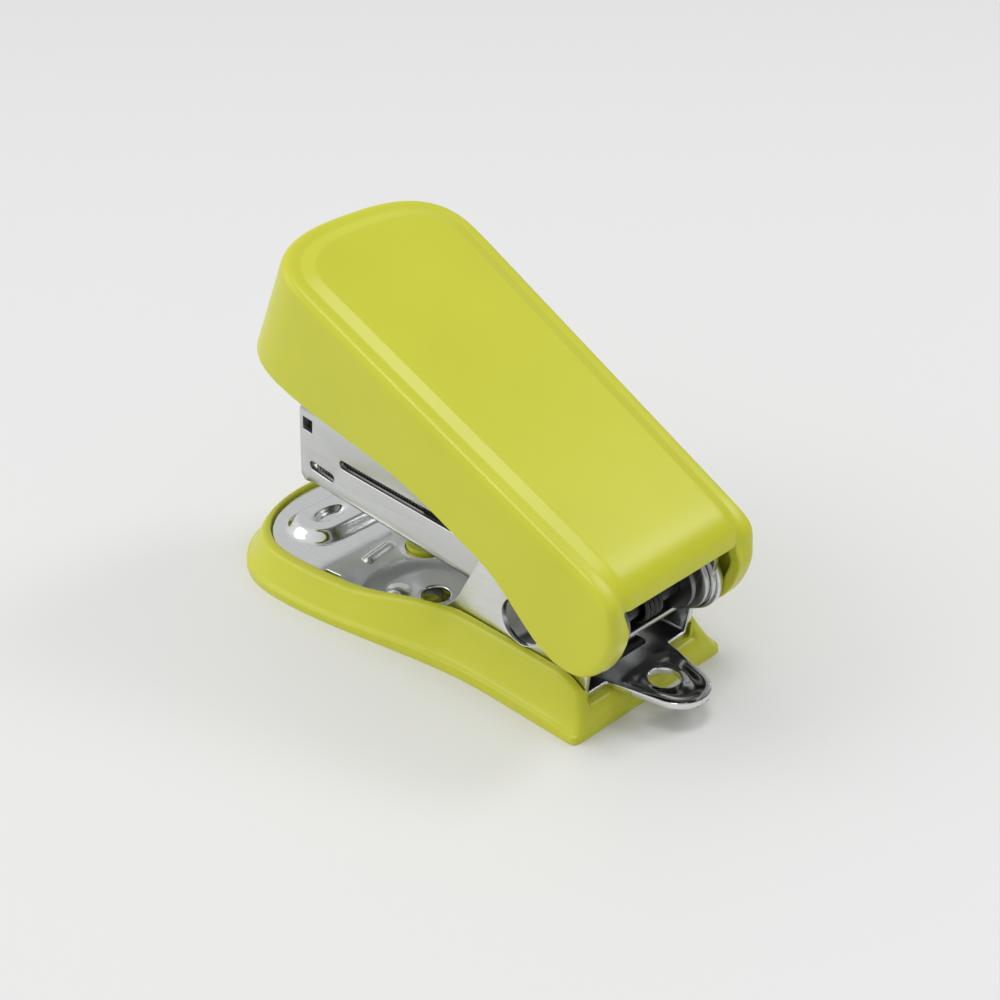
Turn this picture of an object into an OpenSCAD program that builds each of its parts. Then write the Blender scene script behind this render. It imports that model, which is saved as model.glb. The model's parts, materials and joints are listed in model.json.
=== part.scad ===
// Pocket stapler for 24/6 staples. Its mouth faces -X and its hinge is at the +X end.
// The origin is on the floor, under the middle of the base.

/* [Base shell] */
// Distance from the magazine's front to the tip of the base
base_reach = 8.4; // [7:0.2:10]
// Width of the skirt at the round front
base_front_w = 34; // [32:0.5:40]
// Gap between the frame's ears and the rim beside them
ear_rim_gap = 0.1; // [0.05:0.05:0.6]
// Length of the rounded front, from the tip to the widest place
base_nose_l = 13.5; // [10:0.5:18]
// Distance of the waist from the rear face
waist_x = 13; // [10:0.5:20]
// How far the side wall leans in between the floor and the rim
base_lean = 2.1; // [1:0.1:2.6]
// Width of the flat on top of the rim
rim_w = 1.4; // [1:0.1:2]
// Height of the rim at the front
rim_front_h = 4.8; // [4.2:0.1:6]
// Height of the rim beside the ears
rim_side_h = 6.6; // [5:0.1:7]
// Height of the rim at the rear corners
rim_rear_h = 3.9; // [3.3:0.1:5]
// Height of the tray floor that the frame lies on
tray_h = 3.1; // [2.6:0.1:3.6]
// Thickness of the tray floor over the hollow underside
tray_t = 1.3; // [1:0.1:1.6]
// Radius of the post that holds the frame down
post_r = 2.4; // [1.8:0.1:3]

/* [Base frame] */
// Thickness of the frame's sheet
frame_t = 0.8; // [0.6:0.05:1]
// Gap between the frame's front plate and the rim round it
plate_gap = 0.15; // [0.1:0.05:0.3]
// Length of the ears at the height of their windows, from the rear edge of the frame
ear_l = 19; // [17:0.1:21]
// Height of the ears' straight top above the floor
ear_h = 15.4; // [14.5:0.1:16]
// Radius of the ears' round tops about the pin
ear_lobe_r = 4.6; // [4:0.1:4.8]
// Radius of the round window in each ear
ear_window_r = 2.9; // [2:0.1:3.2]
// Distance from the frame's rear edge to the rear face of the base
frame_back = 2.1; // [1.5:0.1:3]
// Height of the anvil above the plate
anvil_h = 1.2; // [0.8:0.1:1.4]
// Length of the anvil, across the stapler
anvil_l = 21; // [18:0.5:22]
// Width of the anvil, along the stapler
anvil_w = 8.4; // [7:0.2:9]
// Radius of the two round holes in the plate
plate_hole_r = 1.85; // [1:0.05:1.85]
// Length of the rear tongue behind the frame
tongue_l = 9.5; // [8.5:0.1:11]
// Width of the tongue at its root
tongue_w = 10.4; // [9:0.2:12]
// Radius of the tongue's round tip
tongue_tip_r = 3.7; // [3.4:0.1:4.4]
// Radius of the hole in the tongue
tongue_hole_r = 1.95; // [1:0.05:2.2]

/* [Hinge] */
// Height of the hinge pin above the floor
pin_h = 12; // [11.5:0.1:12.5]
// Distance of the hinge pin from the rear face of the base
pin_back = 2.4; // [2.2:0.1:3]
// Radius of the hinge pin
pin_r = 1.5; // [1.2:0.1:1.7]
// Radius of the pin's heads
pin_head_r = 2.4; // [2:0.1:2.8]
// Thickness of the pin's heads
pin_head_t = 0.5; // [0.3:0.05:0.6]
// Radius of the round ends that carry the pin
lobe_r = 4; // [3.4:0.1:4.3]
// Radial play of the parts that turn on the pin
pin_play = 0.05; // [0.03:0.01:0.1]
// Side play between neighbouring sheets on the pin
side_play = 0.08; // [0.06:0.01:0.2]

/* [Magazine] */
// Gap between the staples and the magazine's walls
staple_side_gap = 0.3; // [0.2:0.05:0.5]
// Thickness of the magazine's sheet
mag_t = 0.7; // [0.5:0.05:0.8]
// Height of the magazine's side walls
mag_wall_h = 9.9; // [9:0.1:10]
// Depth of the magazine's bottom below the pin
mag_drop = 4; // [3.8:0.1:4.1]
// Length of the magazine from the pin to its front
mag_l = 48.7; // [46:0.1:50]
// Upward tilt of the magazine at rest
mag_tilt = 3; // [2:0.1:4]
// Width of the gap at the front that the staple leaves through
exit_gap = 1.6; // [1.5:0.1:2]
// Height of the slots in the magazine's sides
slot_h = 1.2; // [0.8:0.1:1.4]

/* [Rail and staples] */
// Gap between the staples' legs and the rail
rail_side_gap = 0.15; // [0.1:0.05:0.3]
// Thickness of the rail's sheet
rail_t = 0.6; // [0.5:0.05:0.7]
// Width of the slot along the top of the rail
rail_slot_w = 2.4; // [2:0.1:3]
// Outer width of a staple
staple_w = 12.7; // [12.4:0.1:12.9]
// Height of a staple
staple_h = 6; // [5.8:0.1:6]
// Thickness of the staple wire
staple_t = 0.5; // [0.4:0.05:0.55]
// Length of the staple strip
strip_l = 19; // [10:1:22]
// Length of the pusher
pusher_l = 6; // [5:0.5:8]
// Radius of the guide rod
rod_r = 0.9; // [0.8:0.05:1]
// Mean radius of the pusher spring
coil_r = 1.6; // [1.5:0.05:1.9]
// Wire radius of the pusher spring
coil_wire_r = 0.2; // [0.15:0.05:0.25]
// Number of turns of the pusher spring
coil_turns = 12; // [8:1:16]

/* [Handle] */
// Upward tilt of the handle at rest
handle_tilt = 24.7; // [24:0.1:26]
// Turn of the handle on the magazine while it drives a staple
stroke = 11.7; // [11:0.1:12]
// How far the cover reaches past the magazine's front
nose_reach = 6.9; // [6:0.1:9]
// How far the cover's sides stand in from the widest part of the base
cover_setback = 3.3; // [2.5:0.1:4]
// Gap between the frame's ears and the inside of the cover
cover_side_gap = 1.6; // [1:0.1:2]
// Gap between the handle frame and the cover's roof, bridged by two ribs
roof_gap = 0.8; // [0.5:0.1:1.5]
// Wall thickness of the cover
cover_t = 1.4; // [1.2:0.1:1.6]
// Width of the ledge round the raised top panel
ledge_w = 1; // [0.6:0.1:1.6]
// Height of the raised top panel
panel_h = 0.6; // [0.3:0.1:1]
// Height of the rear opening above the pin
opening_h = 8.1; // [7:0.1:8.1]
// Thickness of the handle frame's sheet
arm_t = 0.6; // [0.6:0.05:0.9]
// Height of the handle frame's top above the pin
arm_h = 7.4; // [7:0.1:7.6]
// Thickness of the driver blade
blade_t = 0.5; // [0.4:0.05:0.6]
// How much narrower the driver blade is than a staple
blade_side_gap = 0.15; // [0.1:0.05:0.4]

/* [Springs and rivets] */
// Thickness of the lift spring under the magazine
leaf_t = 0.3; // [0.2:0.05:0.4]
// Width of the lift spring
leaf_w = 7; // [5:0.5:8]
// Radius of the rivets' heads
rivet_head_r = 1.5; // [1.2:0.1:1.8]
// Radius of the rivets' shanks
rivet_r = 0.8; // [0.6:0.1:1]
// Wire radius of the hinge spring
torsion_wire_r = 0.35; // [0.25:0.05:0.4]
// Number of turns of the hinge spring
torsion_turns = 4; // [3:1:5]

/* [Hidden] */
$fn = 48;
lime = [0.80, 0.84, 0.29];
steel = [0.78, 0.79, 0.80];
dark_steel = [0.45, 0.46, 0.48];
eps = 0.01;

// ---- sizes that follow from the ones above ----
// Widths, built outwards from the staple
mag_w = staple_w + 2 * (staple_side_gap + mag_t);
rail_w = staple_w - 2 * (staple_t + rail_side_gap);
blade_w = staple_w - 2 * blade_side_gap;
// Places along the base, whose middle is at x = 0
base_l = base_reach + mag_l + pin_back;
rear_x = base_l / 2;
front_x = -rear_x;
pin_x = rear_x - pin_back;
frame_x = rear_x - frame_back;
plate_h = tray_h + frame_t;
rim_in = base_lean + rim_w;
// The sheets that nest on the pin, from the magazine out to the ears
mag_half = mag_w / 2;
arm_in = mag_half + side_play;
arm_out = arm_in + arm_t;
ear_in = arm_out + side_play;
ear_out = ear_in + frame_t;
arm_lobe_r = lobe_r + 0.3;
base_rear_w = 2 * (ear_out + ear_rim_gap + rim_in);
// The cover, measured from the pin
cover_l = mag_l + nose_reach;
cover_front_w = base_front_w - 2 * cover_setback;
cover_rear_w = 2 * (ear_out + cover_side_gap + cover_t);
cover_h = arm_h + roof_gap + cover_t;
// Heights above the pin and distances in front of it, inside the magazine
web_top = mag_t - mag_drop;
leg_gap = 0.1;
rail_h = staple_h - staple_t + leg_gap;
rail_top = web_top + rail_h;
rail_l = mag_l - mag_t - exit_gap;
strip_end = rail_l - strip_l;
pusher_gap = 0.1;
pusher_end = strip_end - pusher_gap - pusher_l;
rod_z = web_top + 2.8;
rod_fit = 0.05;
bracket_u = 5.2;
bracket_t = 0.6;
bracket_foot = 3.6;
press_turn = handle_tilt - mag_tilt - stroke;
blade_front = mag_l - mag_t - 0.25;
blade_back = blade_front - blade_t;

// ---- curves and lofts ----
function mix(a, b, t) = a + (b - a) * t;
function clamp01(t) = max(0, min(1, t));
function ease(t) = let (c = clamp01(t)) c * c * (3 - 2 * c);

// Quarter of a rounded front, from its tip at x0 to its widest place at x1.
function nose(x0, x1, w, power, steps) =
  [for (i = [0 : steps - 1]) let (a = 90 * i / steps)
    [x1 - (x1 - x0) * pow(cos(a), 2 / power), w * pow(sin(a), 2 / power)]];

// Rounded rear corner that ends at x1 with half width w.
function corner(x1, w, r, steps) =
  [for (i = [0 : steps]) let (a = 90 * i / steps) [x1 - r + r * sin(a), w - r + r * cos(a)]];

// A closed ring from half of it: [x, half width, z] from the front tip to the rear.
function ring(half) = concat([for (p = half) [p.x, -p.y, p.z]],
                             [for (i = [len(half) - 1 : -1 : 1]) half[i]]);

// The flat outline of the same half, for straight walls.
function outline(half) = [for (p = ring([for (q = half) [q.x, q.y, 0]])) [p.x, p.y]];

// A solid through rings of equal length, stacked from the bottom up.
module loft(rings) {
  n = len(rings[0]);
  m = (n + 1) / 2;
  top = (len(rings) - 1) * n;
  walls = [for (k = [0 : len(rings) - 2], i = [0 : n - 1], side = [0, 1])
    let (a = k * n + i, b = k * n + (i + 1) % n)
    side == 0 ? [a, a + n, b + n] : [a, b + n, b]];
  floor_caps = [for (i = [0 : m - 2])
    i == 0 ? [0, 1, n - 1] : [i, i + 1, n - i - 1, n - i]];
  roof_caps = [for (cap = floor_caps) [for (j = [len(cap) - 1 : -1 : 0]) cap[j] + top]];
  polyhedron([for (r = rings, p = r) p], concat(walls, floor_caps, roof_caps), 6);
}

// A sheet standing in the XZ plane between y and y + t.
module sheet(y, t) {
  translate([0, y + t, 0]) rotate([90, 0, 0]) linear_extrude(t) children();
}

// The same sheet on both sides, its inner face at y.
module sheet_pair(y, t) {
  sheet(y, t) children();
  sheet(-y - t, t) children();
}

// A cylinder across the stapler, centred on the XZ plane.
module across(r, l) {
  rotate([90, 0, 0]) cylinder(r = r, h = l, center = true);
}

// Places a part that is drawn about the pin, with its front turned up by tilt.
module on_pin(tilt) {
  translate([pin_x, 0, pin_h]) rotate([0, tilt, 0]) children();
}

// A round wire along a list of points.
module wire(points, r, sides) {
  last = len(points) - 1;
  rings = [for (i = [0 : last])
    let (d = points[min(i + 1, last)] - points[max(i - 1, 0)],
         t = d / norm(d),
         up = abs(t.y) > 0.9 ? [1, 0, 0] : [0, 1, 0],
         a = cross(t, up) / norm(cross(t, up)),
         b = cross(t, a))
    [for (j = [0 : sides - 1]) points[i] + r * (cos(360 * j / sides) * a + sin(360 * j / sides) * b)]];
  n = sides;
  walls = [for (k = [0 : last - 1], i = [0 : n - 1], side = [0, 1])
    let (p = k * n + i, q = k * n + (i + 1) % n)
    side == 0 ? [p, q, q + n] : [p, q + n, p + n]];
  polyhedron([for (g = rings, p = g) p],
             concat(walls, [[for (i = [n - 1 : -1 : 0]) i]], [[for (i = [0 : n - 1]) last * n + i]]), 6);
}

// ---- base ----
post_x = -6.8;
post_rise = 0.4;
plate_hole_x = 1.6;
plate_hole_y = 6.2;
ear_front_x = frame_x - ear_l;
base_wide_x = front_x + base_nose_l;
base_waist_x = rear_x - waist_x;
base_corner_r = 0.8;
front_power = 2.2;
rear_draft = 1.7;

// Half width of the skirt beside a point of the base.
function skirt(x) =
  mix(base_front_w, base_rear_w, ease((x - base_wide_x) / (base_waist_x - base_wide_x))) / 2;

// Half width of the tray beside a point: it follows the skirt, then closes in on the ears.
tray_neck_x = ear_front_x - 3.5;
tray_close_l = 3.6;
function tray_half(x) =
  mix(skirt(x) - rim_in, base_rear_w / 2 - rim_in, ease((x - tray_neck_x) / tray_close_l));

// Half outline of the tray, drawn in by a gap and cut at x_end.
function tray_outline(gap, x_end, steps = 24) = outline(concat(
  nose(front_x + rim_in + gap, base_wide_x, base_front_w / 2 - rim_in - gap, front_power, 10),
  [for (i = [0 : steps]) let (x = mix(base_wide_x, x_end, i / steps)) [x, tray_half(x) - gap]]));

// Half outline of the base, drawn in from the skirt and cut at x_end.
function base_half(inset, x_end, steps = 14) = concat(
  nose(front_x + inset, base_wide_x, base_front_w / 2 - inset, front_power, 10),
  [for (i = [0 : steps - 1]) let (x = mix(base_wide_x, x_end - base_corner_r, i / steps))
    [x, skirt(x) - inset]],
  corner(x_end, skirt(x_end) - inset, base_corner_r, 3));

// Height of the rim beside a point of the base.
rim_climb_x = base_wide_x + 10;
rim_climb_l = 12;
rim_fall_l = 4.5;
function rim_h(x) =
  mix(mix(rim_front_h, rim_side_h, ease((x - rim_climb_x) / rim_climb_l)),
      rim_rear_h, ease((x - rear_x + rim_fall_l) / rim_fall_l));

// The hollow underside: how far it stays inside the skirt, and the ribs that stiffen it.
under_inset = 1.6;
boss_r = 4;
spine_w = 2;
cross_rib_w = 1.2;
cross_rib_x = [-14, 0, 14];

// Each level of the skirt: how far it leans in, its height and its lean at the rear, as shares.
wall_shape = [[0, 0, 0], [0.04, 0.22, 0.08], [0.35, 0.42, 0.16],
              [0.62, 0.66, 0.4], [0.82, 0.86, 0.8], [1, 0.96, 0.95]];

module base_shell() {
  outer = [for (s = wall_shape) [for (p = base_half(s[0] * base_lean, rear_x - rear_draft * s[2]))
    [p.x, p.y, s[1] * rim_h(p.x)]]];
  rim_crest = base_lean + 0.35 * rim_w;
  rim = [for (p = base_half(rim_crest, rear_x - rear_draft)) [p.x, p.y, rim_h(p.x)]];
  under = outline(base_half(under_inset, rear_x - under_inset));
  color(lime) difference() {
    loft([for (h = concat(outer, [rim])) ring(h)]);
    translate([0, 0, tray_h]) linear_extrude(rim_side_h) polygon(tray_outline(0, rear_x + 2));
    for (s = [-1, 1]) translate([plate_hole_x, s * plate_hole_y, -eps])
      cylinder(r = plate_hole_r, h = 2 * tray_h);
    translate([0, 0, -eps]) linear_extrude(tray_h - tray_t + eps) difference() {
      polygon(under);
      square([base_l, spine_w], center = true);
      for (x = cross_rib_x) translate([x, 0]) square([cross_rib_w, base_front_w], center = true);
      circle(r = boss_r);
    }
  }
  color(lime) translate([post_x, 0, tray_h - eps]) cylinder(r = post_r, h = frame_t + post_rise);
}

// ---- base frame ----
anvil_x = pin_x - mag_l + 2.2;

// Side view of one ear: it rises from the plate in a hollow curve, leans back up to its
// straight top and carries the pin in a round end.
ear_rise_r = 8;
ear_lean = 25;
ear_neck = 0.6;
ear_window_x = pin_x - 9.3;
ear_window_z = 8.8;
module ear_shape() {
  rise_x = ear_front_x - ear_rise_r * cos(ear_lean);
  rise = [for (a = [0 : (90 - ear_lean) / 8 : 90 - ear_lean])
    [rise_x + ear_rise_r * sin(a), plate_h + ear_rise_r * (1 - cos(a))]];
  foot_top = rise[len(rise) - 1];
  top_front = foot_top.x + (ear_h - foot_top.y) * tan(ear_lean);
  difference() {
    union() {
      polygon(concat([[rise_x, tray_h]], rise,
                     [[top_front, ear_h], [pin_x - 1, pin_h + ear_lobe_r - 0.15], [pin_x, pin_h],
                      [frame_x - ear_neck, pin_h - ear_lobe_r + ear_neck], [frame_x, tray_h]]));
      translate([pin_x, pin_h]) circle(r = ear_lobe_r);
    }
    translate([pin_x, pin_h]) circle(r = pin_r + eps);
    translate([ear_window_x, ear_window_z]) circle(r = ear_window_r);
  }
}

// Flat outline of the tongue: a taper that runs into a round tip.
tip_x = frame_x + tongue_l - tongue_tip_r;
hole_x = frame_x + 3.9;
tongue_taper = 14;
module tongue_shape() {
  side_x = tip_x + tongue_tip_r * sin(tongue_taper);
  side_y = tongue_tip_r * cos(tongue_taper);
  polygon([[frame_x - 1, -tongue_w / 2], [side_x, -side_y], [side_x, side_y], [frame_x - 1, tongue_w / 2]]);
  translate([tip_x, 0]) circle(r = tongue_tip_r);
}

// The raised anvil, with sloping sides.
module anvil() {
  slope = anvil_h;
  hull() {
    for (s = [-1, 1]) translate([0, s * (anvil_l - anvil_w) / 2, 0]) {
      cylinder(d = anvil_w, h = eps, $fn = 32);
      cylinder(d = anvil_w - 2 * slope, h = anvil_h, $fn = 32);
    }
  }
}

// One clinching groove, a shallow curved trough across the stapler.
module clinch_groove() {
  bend_r = 4.8;
  groove_r = 1.1;
  groove_depth = 0.6;
  translate([0, 0, bend_r + groove_r - groove_depth]) rotate([0, 90, 0])
    rotate_extrude() translate([bend_r, 0]) circle(r = groove_r, $fn = 24);
}

// Shallow round dish pressed into the floor plate.
dish_r = 9;
dish_depth = 0.3;
dish_x = -1.5;
module dish_cut() {
  rotate_extrude() polygon([[0, -dish_depth], [dish_r - 3, -dish_depth], [dish_r - 2, -dish_depth * 0.85],
                            [dish_r - 1, -dish_depth * 0.4], [dish_r, 0], [dish_r, eps], [0, eps]]);
}

// Half-round stiffening bead across the floor plate, with ball ends.
bead_x = -10.4;
bead_y = 4.3;
bead_l = 3.6;
module bead() {
  bead_r = 0.8;
  sink = 0.45;
  translate([bead_x, 0, plate_h - sink]) for (s = [-1, 1]) {
    translate([0, s * bead_y, 0]) across(bead_r, bead_l);
    for (e = [-1, 1]) translate([0, s * bead_y + e * bead_l / 2, 0]) sphere(r = bead_r, $fn = 24);
  }
}

module base_frame() {
  color(steel) difference() {
    union() {
      translate([0, 0, tray_h]) linear_extrude(frame_t) {
        polygon(tray_outline(plate_gap, frame_x));
        tongue_shape();
      }
      sheet_pair(ear_in, frame_t) ear_shape();
      translate([anvil_x, 0, plate_h - eps]) anvil();
      intersection() {
        bead();
        translate([0, 0, plate_h + 1 - eps]) cube([base_l, base_rear_w, 2], center = true);
      }
    }
    for (s = [-1, 1]) {
      translate([plate_hole_x, s * plate_hole_y, 0]) cylinder(r = plate_hole_r, h = 3 * plate_h);
      translate([anvil_x, s * staple_w * 0.32, plate_h + anvil_h]) clinch_groove();
    }
    translate([dish_x, 0, plate_h]) dish_cut();
    translate([post_x, 0, 0]) cylinder(r = post_r + 0.1, h = 3 * plate_h);
    translate([hole_x, 0, 0]) cylinder(r = tongue_hole_r, h = 3 * plate_h);
    translate([rivet_x, 0, 0]) cylinder(r = rivet_r, h = 3 * plate_h);
  }
}

// ---- lift spring ----
rivet_x = pin_x - 4;
leaf_start = pin_x - 1.6;
leaf_flat = 5;
leaf_reach = 17;
leaf_end_z = pin_h + leaf_reach * sin(mag_tilt) - mag_drop * cos(mag_tilt) - 0.05;
module lift_spring() {
  steps = 10;
  lower = [for (i = [0 : steps]) let (t = i / steps)
    [leaf_start - leaf_flat - t * (leaf_reach - leaf_flat - 1.6), mix(plate_h, leaf_end_z - leaf_t, ease(t))]];
  outline = concat([[leaf_start, plate_h]], lower,
                   [for (i = [steps : -1 : 0]) lower[i] + [0, leaf_t]], [[leaf_start, plate_h + leaf_t]]);
  color(dark_steel) difference() {
    sheet(-leaf_w / 2, leaf_w) polygon(outline);
    translate([rivet_x, 0, 0]) cylinder(r = rivet_r, h = pin_h);
  }
}

module lift_spring_rivet() {
  color(dark_steel) translate([rivet_x, 0, 0]) {
    translate([0, 0, tray_h]) cylinder(r = rivet_r, h = frame_t + leaf_t + eps);
    translate([0, 0, plate_h + leaf_t]) cylinder(r = rivet_head_r, h = 0.4);
  }
}

// ---- magazine ----
// A slot with round ends from u0 to u1 in front of the pin, tilted about its front end.
module rounded_slot(u0, u1, z, h, tilt = 0) {
  length = u1 - u0 - h;
  translate([h / 2 - u1, z]) rotate(tilt) {
    translate([0, -h / 2]) square([length, h]);
    for (x = [0, length]) translate([x, 0]) circle(d = h);
  }
}

mag_top = mag_wall_h - mag_drop;
web_overhang = 0.8;
chamfer = 1.1;
window_l = 1.8;
module magazine_wall() {
  difference() {
    union() {
      polygon([[-mag_l, -mag_drop + chamfer], [-mag_l + chamfer, -mag_drop], [0, -mag_drop],
               [0, lobe_r], [-5, mag_top], [-mag_l, mag_top]]);
      circle(r = lobe_r);
    }
    circle(r = pin_r + pin_play);
    rounded_slot(12, mag_l - 7.6, 1.3, slot_h, 1.4);
    rounded_slot(mag_l - 6.6, mag_l - 2.1, -1.3, slot_h, -2);
    translate([window_l / 2 - mag_l, mag_top - 1.5 * window_l]) square(window_l);
  }
}

module magazine() {
  inner = mag_half - mag_t;
  color(steel) on_pin(mag_tilt) difference() {
    union() {
      sheet_pair(inner, mag_t) magazine_wall();
      translate([-rail_l, -inner - eps, -mag_drop]) cube([rail_l + web_overhang, 2 * (inner + eps), mag_t]);
      translate([-mag_l, -inner - eps, -mag_drop + chamfer])
        cube([mag_t, 2 * (inner + eps), mag_wall_h - chamfer]);
    }
    translate([-bracket_rivet_u, 0, -2 * mag_drop]) cylinder(r = rivet_r, h = 2 * mag_drop);
  }
}

// ---- staple rail ----
module staple_rail() {
  half = rail_w / 2;
  roof_u = 9;
  color(steel) on_pin(mag_tilt) difference() {
    union() {
      sheet_pair(half - rail_t, rail_t) difference() {
        union() {
          translate([-rail_l, web_top]) square([rail_l - 2, rail_h]);
          translate([-3, web_top]) square([3, -web_top]);
          circle(r = -web_top);
        }
        circle(r = pin_r + pin_play);
      }
      translate([-rail_l, -half + eps, rail_top - rail_t]) cube([rail_l - roof_u, rail_w - 2 * eps, rail_t]);
      translate([-rail_l, -half + eps, web_top]) cube([rail_t, rail_w - 2 * eps, rail_h]);
    }
    translate([-rail_l + 3, -rail_slot_w / 2, rail_top - 2 * rail_t]) cube([rail_l, rail_slot_w, 3 * rail_t]);
    translate([-rail_l, 0, rod_z]) rotate([0, 90, 0])
      cylinder(r = rod_r + rod_fit, h = 4 * rail_t, center = true);
  }
}

// ---- staples and pusher ----
// A saddle over the rail, from u0 to u1 in front of the pin.
module saddle(u0, u1, inner_half, z_top, t, z_foot) {
  translate([-u1, 0, 0]) difference() {
    translate([0, -staple_w / 2, z_foot]) cube([u1 - u0, staple_w, z_top - z_foot]);
    translate([-eps, -inner_half, z_foot - eps])
      cube([u1 - u0 + 2 * eps, 2 * inner_half, z_top - t - z_foot + eps]);
  }
}

module staple_strip() {
  top = rail_top + staple_t;
  color("silver") on_pin(mag_tilt)
    saddle(strip_end, rail_l, staple_w / 2 - staple_t, top, staple_t, top - staple_h);
}

// The pusher rides on the rail, with a stem through the rail's slot and a block round the rod.
module pusher() {
  play = 0.15;
  roof = 1.1;
  roof_z = rail_top + pusher_gap + roof;
  under = rail_top - rail_t - play;
  stem_w = rail_slot_w - 2 * play;
  block_w = 4.4;
  block_r = 2;
  color("dimgray") on_pin(mag_tilt) difference() {
    union() {
      saddle(pusher_end, pusher_end + pusher_l, rail_w / 2 + play, roof_z, roof, web_top + 0.4);
      translate([-pusher_end - pusher_l, -stem_w / 2, under - 1]) cube([pusher_l, stem_w, roof_z - under]);
      translate([-pusher_end - pusher_l, -block_w / 2, rod_z - block_r])
        cube([pusher_l, block_w, under - rod_z + block_r]);
    }
    translate([-pusher_end, 0, rod_z]) rotate([0, -90, 0]) translate([0, 0, -1])
      cylinder(r = rod_r + rod_fit, h = pusher_l + 2);
  }
}

module pusher_spring() {
  u0 = bracket_u + coil_wire_r + 0.02;
  u1 = pusher_end - coil_wire_r - 0.02;
  steps = 12 * coil_turns;
  color(dark_steel) on_pin(mag_tilt)
    wire([for (i = [0 : steps]) let (a = 360 * i / 12)
      [-mix(u0, u1, i / steps), coil_r * cos(a), rod_z + coil_r * sin(a)]], coil_wire_r, 6);
}

// ---- guide rod and what holds it ----
clip_t = 0.4;
rod_back_u = bracket_u - bracket_t - clip_t - 0.3;
module guide_rod() {
  color(steel) on_pin(mag_tilt) translate([-rod_back_u, 0, rod_z]) rotate([0, -90, 0])
    cylinder(r = rod_r, h = rail_l - rod_back_u);
}

bracket_rivet_u = bracket_u + 1.8;
module rod_bracket() {
  half = rail_w / 2 - rail_t - 0.2;
  color(steel) on_pin(mag_tilt) difference() {
    union() {
      translate([-bracket_u, -half, web_top]) cube([bracket_t, 2 * half, rail_h - rail_t - 0.2]);
      translate([-bracket_u - bracket_foot, -half, web_top]) cube([bracket_foot + eps, 2 * half, bracket_t]);
    }
    translate([-bracket_u, 0, rod_z]) rotate([0, 90, 0])
      cylinder(r = rod_r + rod_fit, h = 4 * bracket_t, center = true);
    translate([-bracket_rivet_u, 0, web_top - 1]) cylinder(r = rivet_r, h = 3);
  }
}

module bracket_rivet() {
  color(dark_steel) on_pin(mag_tilt) translate([-bracket_rivet_u, 0, 0]) {
    translate([0, 0, -mag_drop - 0.3]) cylinder(r = rivet_head_r, h = 0.3);
    translate([0, 0, -mag_drop - eps]) cylinder(r = rivet_r, h = mag_t + bracket_t + 2 * eps);
    translate([0, 0, web_top + bracket_t]) cylinder(r = rivet_head_r - 0.2, h = 0.2);
  }
}

module rod_clip() {
  color(dark_steel) on_pin(mag_tilt) translate([-bracket_u + bracket_t, 0, rod_z]) rotate([0, 90, 0])
    difference() {
      cylinder(r = rod_r + 1, h = clip_t);
      translate([0, 0, -clip_t]) cylinder(r = rod_r + eps, h = 3 * clip_t);
    }
}

// ---- hinge ----
module hinge_spacers() {
  gap = mag_half - mag_t - rail_w / 2 - side_play;
  color(steel) on_pin(mag_tilt) for (s = [-1, 1]) translate([0, s * (rail_w / 2 + (side_play + gap) / 2), 0])
    difference() {
      across(pin_r + 1.2, gap);
      across(pin_r + pin_play, 2 * gap);
    }
}

module hinge_pin() {
  color(steel) translate([pin_x, 0, pin_h]) {
    across(pin_r, 2 * ear_out + 2 * side_play);
    for (s = [-1, 1]) translate([0, s * (ear_out + side_play + pin_head_t / 2), 0])
      across(pin_head_r, pin_head_t);
  }
}

torsion_r = pin_r + torsion_wire_r + 0.2;
module hinge_spring() {
  pitch = 2 * torsion_wire_r + 0.05;
  half = torsion_turns * pitch / 2;
  steps = 16 * torsion_turns + 4;
  lean = handle_tilt - mag_tilt;
  reach = 2 * lobe_r;
  lift = arm_h - arm_t - torsion_wire_r - 0.03;
  coil = [for (i = [0 : steps]) let (a = -90 - 360 * i / 16)
    [torsion_r * cos(a), mix(-half, half, i / steps), torsion_r * sin(a)]];
  foot = [-0.8 * lobe_r, -half, web_top + torsion_wire_r + 0.05];
  tip = [-reach * cos(lean) + lift * sin(lean), half, reach * sin(lean) + lift * cos(lean)];
  color(dark_steel) on_pin(mag_tilt)
    wire(concat([foot], coil, [tip]), torsion_wire_r, 8);
}

// ---- handle ----
cover_nose_l = 9.2;
cover_wide_x = -cover_l + cover_nose_l;
fillet = 1;

// Half width of the cover beside a point, measured from the pin.
function cover_side(x) = mix(cover_front_w, cover_rear_w, clamp01((x - cover_wide_x) / -cover_wide_x)) / 2;

function cover_half(inset, x_end, steps = 12) = concat(
  nose(-cover_l + inset, cover_wide_x, cover_front_w / 2 - inset, 2.7, 10),
  [for (i = [0 : steps - 1]) let (x = mix(cover_wide_x, x_end - fillet, i / steps))
    [x, cover_side(x) - inset]],
  corner(x_end, cover_side(x_end) - inset, fillet, 3));

// Height of the cover's lower edge: it dips at the nose and round the hinge.
function edge_z(x) = -0.3 - 3.9 * ease((-x - 22) / 26) - 3.1 * ease((x + 13) / 12);

// Each level of the side wall: its share of the height and how far it reaches behind the pin.
cover_levels = [[0, 0.6], [0.06, 2.9], [0.17, 4.3], [0.3, 4.9],
                [0.5, 5.1], [0.65, 4.9], [0.8, 4.2], [0.93, 3]];
// Each level of the rounded roof edge: its inset, its depth and how far it reaches behind the pin.
roof_levels = [[0.08, 0.62, 2.5], [0.35, 0.25, 1.7], [1, 0, 0.4]];

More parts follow.
